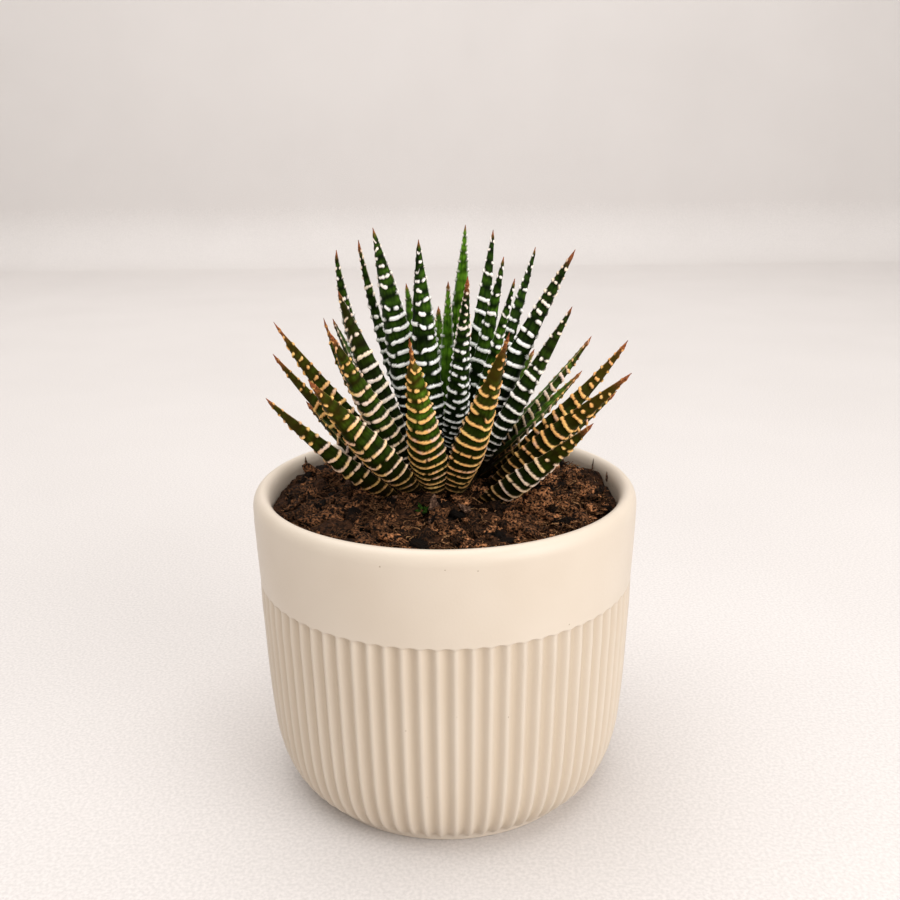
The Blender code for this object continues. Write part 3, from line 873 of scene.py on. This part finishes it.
def band_bow(leaf, rng, places, across):
    """How far each band leaves its level line towards the tip, for each column.

    A bow that rises to both margins, two slow waves, and a step where the halves miss each other
    at the keel. All of it shrinks where the bands stand close.
    """
    room = (np.gradient(places) / 3.0)[:, None]
    count = len(places)
    bow = (0.45 + 0.35 * rng.random(count))[:, None] * across ** 2
    wave = 0.20 * np.sin(2.3 * across + (rng.random(count) * math.tau)[:, None])
    ripple = 0.13 * np.sin(6.1 * across + (rng.random(count) * math.tau)[:, None])
    ripe = smooth_step(0.25, 0.6, places / leaf.length)[:, None]
    step = (rng.normal(0.0, 0.30, count)[:, None] * ripe + 0.05) * np.tanh(across / 0.07)
    return room * (bow + wave + ripple + step)


def half_girth(half, thick):
    """From the keel round to a margin: a quarter of an ellipse's girth, by the mean square of its axes."""
    return math.pi / 2.0 * np.sqrt((half ** 2 + thick ** 2) / 2.0)


def band_room(places):
    """The share of its full height that each band has room for, at most 1."""
    return np.minimum(1.0, np.gradient(places) / (2.1 * BAND_STEPS[-1]))


def band_runs(leaf, rng, places):
    """The runs of tubercles in each band.

    Near the root a band is thin and nearly whole. Higher up it is thicker, the more so on the inner
    leaves, parts at the keel and swells at its inner ends. Near the tip it thins out and breaks into
    dots: at the keel, at the margins and, where the leaf is wide enough, between.
    """
    runs = []
    room = band_room(places)
    around = half_girth(*blade_size(leaf, places / leaf.length)[:2])
    for band, place in enumerate(places):
        share = place / leaf.length
        swell = (0.24 + 0.025 * leaf.row) * smooth_step(0.08, 0.50, share)
        radius = 0.18 + swell - 0.16 * smooth_step(0.68, 0.90, share)
        radius *= (0.92 + 0.16 * rng.random()) * (0.65 + 0.35 * leaf.width / 9.0) * room[band]
        phase = rng.random() * math.tau
        if share > 0.78 - 0.12 * rng.random() - 0.24 * leaf.broken:
            beside = 0.6 * smooth_step(1.6, 3.4, around[band])
            keel = rng.normal(0.0, 0.15)
            dots = [(-0.93, 0.9), (-0.45, beside), (keel, 0.85), (0.45, beside), (0.93, 0.9)]
            for centre, chance in dots:
                spread = 0.10 * rng.random()
                if rng.random() < chance:
                    runs.append(Run(band, centre - spread, centre + spread, radius, phase, 0))
            continue
        parted = rng.random() < 0.10 + 0.85 * smooth_step(0.34, 0.62, share)
        cuts = list(rng.uniform(-0.85, 0.85, rng.binomial(5, 0.08 + 0.55 * leaf.broken)))
        keel = rng.normal(0.0, 0.08)
        if parted:
            cuts.append(keel)
        ends = [-1.0] + sorted(cuts) + [1.0]
        for start, end in zip(ends, ends[1:]):
            gap = (radius + 0.04 + (0.15 + 0.45 * leaf.broken) * rng.random()) / around[band]
            start_knob, end_knob = parted and start == keel, parted and end == keel
            start = start + (gap if start > -1.0 else 0.0)
            end = end - (gap if end < 1.0 else 0.0)
            if end > start:
                runs.append(Run(band, start, end, radius, phase, int(end_knob) - int(start_knob)))
    return runs


def leaf_rows(leaf, places):
    """Grid rows along a leaf: seven across each band, one between two, more at root and tip."""
    reach = BAND_STEPS[-1] * band_room(places)
    on_bands = (places[:, None] + BAND_STEPS * band_room(places)[:, None]).ravel()
    between = (places[:-1] + reach[:-1] + places[1:] - reach[1:]) / 2.0
    root = np.linspace(0.0, places[0] - reach[0], 4)[:-1]
    tip = leaf.length - (leaf.length - places[-1] - reach[-1]) * np.linspace(1.0, 0.0, 10)[1:] ** 1.3
    return np.sort(np.concatenate([root, on_bands, between, tip]))


def bowed_rows(leaf, rng, places, rows, across):
    """How far along the leaf each grid point lies, in millimetres: its row, moved by the bow of the bands.

    A row between two bands takes a share of each one's bow, which fades out to the root and the tip.
    """
    bow = band_bow(leaf, rng, places, across)
    reach = BAND_STEPS[-1] * band_room(places)
    knots = np.stack([places - reach, places + reach], axis=1).ravel()
    index = np.interp(rows, knots, np.repeat(np.arange(len(places)), 2))
    low = np.floor(index).astype(int)
    high = np.minimum(low + 1, len(places) - 1)
    blend = (index - low)[:, None]
    from_tip = (leaf.length - rows) / (leaf.length - knots[-1])
    fade = np.clip(rows / knots[0], 0.0, 1.0) * np.clip(from_tip, 0.0, 1.0)
    return rows[:, None] + fade[:, None] * ((1.0 - blend) * bow[low] + blend * bow[high])


def raised_bands(leaf, rng, places, rows, around, girth):
    """How much of a band each grid point is on, and how far it is raised, both from 0 to 1.

    A run raises the skin by the square root of 1 minus the squared share of its radius, which swells and
    shrinks along the run as two sine waves.
    """
    room = band_room(places)
    band = np.zeros_like(girth)
    raised = np.zeros_like(girth)
    for run in band_runs(leaf, rng, places):
        pick = np.abs(rows - places[run.band]) < BAND_STEPS[-1] * room[run.band] + 0.01
        start, end = run.start * around[pick], run.end * around[pick]
        here = girth[pick]
        aside = np.maximum(np.maximum(start - here, here - end), 0.0)
        bead = 1.0 + 0.18 * np.sin(2.9 * here + run.phase) + 0.20 * np.sin(7.1 * here + 2.0 * run.phase)
        knob_at = end if run.knob > 0 else start
        knob = 0.15 * abs(run.knob) * np.exp(-((here - knob_at) / 0.45) ** 2)
        radius = np.minimum(run.radius * bead + knob, LARGEST_RUN) * np.minimum(1.0, 0.4 + room[run.band])
        far = np.hypot(aside, (rows[pick] - places[run.band])[:, None])
        band[pick] = np.maximum(band[pick], np.clip((radius + 0.06 - far) / 0.14, 0.0, 1.0))
        dome = np.sqrt(np.clip(1.0 - (far / (radius + 0.1)) ** 2, 0.0, None))
        raised[pick] = np.maximum(raised[pick], dome)
    return band, raised


def skin_colours(leaf, along, across, side, from_band, on_face):
    """What the skin's material reads for its colours: how dry, warm, olive, grimy and shaded, and light it
    is.

    Each is an S-curve along the leaf; the darkening at the root is grime and painted shade, and the
    lightness falls towards the root as painted shade. Warm and olive lean to the side that turns down, the
    lightness to the side that turns right as painted light, and it fades out beside a band as painted
    shade.
    """
    dry = smooth_step(1.0 - 1.1 * leaf.dry / leaf.length, 1.0 - 0.2 * leaf.dry / leaf.length, along)
    # Painted shade: the green darkens close beside each band
    clear_of_band_shade = 1.0 - np.exp(-(from_band / 0.9) ** 2)
    lit_side = 1.0 + 0.6 * across * side[..., 0]
    flush = 1.0 - 0.45 * across * side[..., 2] - 0.35 * leaf.warm * across * side[..., 0]
    # Painted shade: the green darkens to almost nothing towards the root
    tone = leaf.tone * (0.02 + 1.08 * smooth_step(0.20, 0.80, along))
    tone *= (0.03 + 0.97 * clear_of_band_shade) * lit_side
    # Grime and painted shade at the root, reaching higher on the flatter leaves
    soiled_and_shaded = 1.0 - smooth_step(0.0, 0.16 + 0.36 * smooth_step(52.0, 38.0, leaf.slope), along)
    warm = leaf.warm * flush + 0.6 * soiled_and_shaded + 0.08 * leaf.dry * smooth_step(0.55, 0.95, along)
    olive = leaf.warm * (0.15 + 0.75 * smooth_step(0.5, 0.9, along)) * flush
    return {
        "dry": dry,
        "warm": np.clip(warm, 0.0, 1.0),
        "olive": np.clip(olive, 0.0, 0.85),
        "soiled_and_shaded": soiled_and_shaded,
        "tone": np.clip(tone + on_face * (0.15 + 0.5 * leaf.tone), 0.0, 1.5),
    }


def build_leaf(name, leaf, seed, material):
    """One leaf: a section carried along its middle line, with the tubercle bands raised on it.

    The back of the section is half x sin(angle) across and thickness x (1 - |sin|^1.6)^0.75 deep, the
    upper face a shallow hollow. The bands lift a point straight away from the middle of the section.
    """
    rng = np.random.default_rng(seed)
    places = band_places(leaf)
    rows = leaf_rows(leaf, places)
    back = np.linspace(-1.0, 1.0, BACK_STEPS + 1)
    face = np.cos(np.linspace(0.0, math.pi, FACE_STEPS + 1))[1:-1]
    across = np.concatenate([back, face])[None, :]
    on_face = np.concatenate([np.zeros(len(back)), np.ones(len(face))])[None, :]
    distance = bowed_rows(leaf, rng, places, rows, across)
    along = np.clip(distance / leaf.length, 0.0, 1.0)

    half, thick, hollow = blade_size(leaf, along)
    swing = np.sin(across * math.pi / 2.0)
    edge = 0.22 * thick / (thick + 0.6)
    back_depth = edge + (thick - edge) * (1.0 - np.abs(swing) ** 1.6) ** 0.75
    face_depth = hollow * (1.0 - np.abs(across) ** 1.5)
    depth = np.where(on_face > 0.5, face_depth, back_depth)
    side_reach = half * np.where(on_face > 0.5, across, swing)

    around = half_girth(half, thick)
    past_margin = around + half * (1.0 - np.abs(across))
    girth = np.where(on_face > 0.5, np.sign(across) * past_margin, across * around)
    band, raised = raised_bands(leaf, rng, places, rows, around, girth)

    middle, side, inward = leaf_frame(leaf, along)
    offset = side * side_reach[..., None] - inward * depth[..., None]
    away = offset + inward * (0.45 * thick)[..., None]
    away /= np.linalg.norm(away, axis=-1, keepdims=True)
    lift = BAND_RELIEF * raised * np.clip(half / 1.8, 0.35, 1.0)
    points = middle + offset + away * lift[..., None]

    from_band = np.abs(rows[:, None] - places).min(axis=1)[:, None]
    values = skin_colours(leaf, along, across, side, from_band, on_face)
    values["dry"] *= 1.0 - 0.5 * band
    margin = np.exp(-((np.abs(girth) - around) / 0.12) ** 2) * (0.7 + 0.3 * np.sin(4.3 * distance))
    values["band"] = np.maximum(band, 0.5 * margin)
    values["straight"] = np.stack([side_reach, -depth, distance], axis=-1) * MM + 0.05 * seed
    return closed_tube(name, points, material, values)


def build_stem(material):
    """The short stem under the leaves: its outline turned about the plant's axis."""
    outline = smooth_curve([(radius, height) for height, radius in STEM_OUTLINE], 3)
    turn = np.linspace(0.0, math.tau, 48, endpoint=False)[None, :]
    radius, height = outline[:, :1], outline[:, 1:]
    ridges = 1.0 + 0.02 * np.sin(9.0 * turn + 0.4 * height)
    return closed_tube("leaf_stem", turned(radius * ridges, height, turn, (PLANT_X, PLANT_Y)), material)


# ---------------- stage

def build_floor(material):
    """A level floor that turns up into a wall far behind: a profile drawn straight across."""
    cove = np.radians(np.linspace(0.0, 90.0, 13))
    wall, bend = 1330.0, 90.0
    profile = [(-3000.0, 0.0), (-600.0, 0.0), (wall - 2.0 * bend, 0.0)]
    profile += [(wall - bend + bend * math.sin(a), bend - bend * math.cos(a)) for a in cove]
    profile += [(wall, 600.0), (wall, 2200.0)]
    y, z = np.array(profile).T
    x = np.array([-4000.0, 4000.0])
    points = np.stack([x[None, :] + 0.0 * y[:, None], y[:, None] + 0.0 * x, z[:, None] + 0.0 * x], axis=-1)
    index = np.arange(points.shape[0] * 2).reshape(-1, 2)
    quads = np.stack([index[:-1, 0], index[:-1, 1], index[1:, 1], index[1:, 0]], axis=-1)
    mesh = bpy.data.meshes.new("studio_floor")
    mesh.from_pydata((points.reshape(-1, 3) * MM).tolist(), [], quads.tolist())
    mesh.polygons.foreach_set("use_smooth", np.ones(len(quads), bool))
    mesh.materials.append(material)
    floor = bpy.data.objects.new("studio_floor", mesh)
    bpy.context.scene.collection.objects.link(floor)
    return floor


def add_light(name, position, target, size, power):
    """A square soft white light at a position, turned to face its target, both in metres."""
    data = bpy.data.lights.new(name, "AREA")
    data.shape = "SQUARE"
    data.size = size
    data.energy = power
    light = bpy.data.objects.new(name, data)
    bpy.context.scene.collection.objects.link(light)
    look = Vector(target) - Vector(position)
    light.rotation_euler = look.to_track_quat("-Z", "Y").to_euler()
    light.location = position


def build_stage():
    """Floor, lights, surroundings and the camera."""
    build_floor(floor_material())
    for light in LIGHTS:
        add_light(*light)
    world = bpy.data.worlds.new("studio")
    world.use_nodes = True
    sky = world.node_tree.nodes["Background"]
    feed(world.node_tree, sky.inputs["Color"], SKY_COLOUR)
    feed(world.node_tree, sky.inputs["Strength"], SKY_STRENGTH)
    scene = bpy.context.scene
    scene.world = world
    scene.view_settings.view_transform = "Standard"
    data = bpy.data.cameras.new("camera")
    data.sensor_width = SENSOR_WIDTH
    data.lens = LENS
    data.shift_x = SIDE_SHIFT
    camera = bpy.data.objects.new("camera", data)
    scene.collection.objects.link(camera)
    tilt = Matrix.Rotation(math.radians(CAMERA_TILT), 4, "X")
    roll = Matrix.Rotation(math.radians(CAMERA_ROLL), 4, "Z")
    camera.matrix_world = Matrix.Translation(CAMERA_PLACE) @ tilt @ roll
    scene.camera = camera


# ---------------- the object

def dress(piece, slot, *nodes):
    """The piece rides with the object and stands for the CAD nodes; the slot is not used."""
    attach(piece, "root")
    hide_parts(*nodes)


def main():
    build_stage()
    dress(build_pot(glaze_material()), "glaze", "pot")
    dress(build_soil(soil_material()), "bark_soil", "soil")
    dress(build_chips(chip_material("bark_chip", CHIP_BROWN)), "bark_soil", "soil")
    dress(build_fibres(chip_material("coir_fibre", COIR_TAN)), "bark_soil", "soil")
    rng = np.random.default_rng(SCRAP_SEED)
    husk = chip_material("dry_leaf", HUSK_BROWN)
    dress(build_litter("dry_husks", HUSKS, 0.9, 0.45, rng, husk), "bark_soil", "soil")
    sprout = chip_material("sprout_green", SPROUT_GREEN)
    dress(build_litter("green_sprouts", SPROUTS, 1.1, 0.6, rng, sprout), "bark_soil", "soil")
    dress(build_stem(stem_material()), "stem", "stem")
    skin = leaf_material()
    for number, leaf in enumerate(LEAVES, start=1):
        piece = build_leaf(f"blade_{number:02d}", leaf, number, skin)
        dress(piece, "leaf", f"leaf_{number:02d}")


main()
